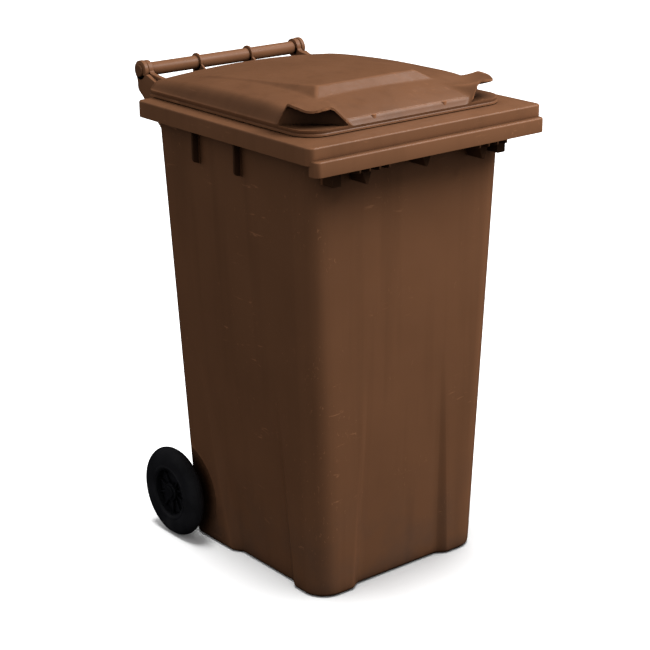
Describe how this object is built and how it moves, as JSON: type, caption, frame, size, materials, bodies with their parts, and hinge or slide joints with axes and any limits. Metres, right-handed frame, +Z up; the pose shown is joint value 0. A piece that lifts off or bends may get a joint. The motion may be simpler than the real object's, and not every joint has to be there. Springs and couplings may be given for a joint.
{
  "type": "wheelie bin",
  "caption": "Tall tapered brown plastic waste bin with a hinged domed lid, a rear handle bar, a lifting ledge and a pair of rubber-tyred wheels on an axle.",
  "frame": {"origin": "on the ground under the middle of the bin's overall length and width", "axes": "+Z up, -Y towards the front with the lifting ledge, +X across along the axle"},
  "size_m": [0.595, 0.715, 1.0375],
  "materials": {
    "moulded_plastic": "satin moulded polyethylene, brown",
    "pin_plastic": "satin",
    "tyre_rubber": "matte solid rubber",
    "black_plastic": "satin moulded",
    "latch_plastic": "satin",
    "spring_steel": "bright wire",
    "zinc_steel": "zinc plated",
    "soft_rubber": "matte"
  },
  "bodies": {
    "container": {"container": "moulded_plastic", "axle": "zinc_steel", "axle_spacer_left": "black_plastic", "axle_spacer_right": "black_plastic", "lid_hinge_pin_left": "pin_plastic", "lid_hinge_pin_right": "pin_plastic", "chip_plug": "pin_plastic", "transponder": "black_plastic"},
    "lid": {"lid": "moulded_plastic", "lid_buffers": "soft_rubber"},
    "wheel_left": {"tyre_left": "tyre_rubber", "wheel_rim_left": "black_plastic", "hub_cap_left": "black_plastic", "latch_spring_left": "spring_steel"},
    "latch_left": {"latch_pin_left": "latch_plastic"},
    "wheel_right": {"tyre_right": "tyre_rubber", "wheel_rim_right": "black_plastic", "hub_cap_right": "black_plastic", "latch_spring_right": "spring_steel"},
    "latch_right": {"latch_pin_right": "latch_plastic"}
  },
  "joints": [
    {"name": "lid_hinge", "type": "hinge", "parent": "container", "child": "lid", "pos_m": [0, 0.3345, 1.0077], "axis": [-1, 0, 0], "range_deg": [0, 270]},
    {"name": "wheel_left_spin", "type": "hinge", "parent": "container", "child": "wheel_left", "pos_m": [-0.25, 0.198, 0.1], "axis": [1, 0, 0], "continuous": true},
    {"name": "latch_left_slide", "type": "slide", "parent": "wheel_left", "child": "latch_left", "axis": [0, 0, 1], "range_m": [0, 0.004], "stiffness_N_per_m": 400, "deforming": ["latch_spring_left"]},
    {"name": "wheel_right_spin", "type": "hinge", "parent": "container", "child": "wheel_right", "pos_m": [0.25, 0.198, 0.1], "axis": [1, 0, 0], "continuous": true},
    {"name": "latch_right_slide", "type": "slide", "parent": "wheel_right", "child": "latch_right", "axis": [0, 0, 1], "range_m": [0, 0.004], "stiffness_N_per_m": 400, "deforming": ["latch_spring_right"]}
  ]
}
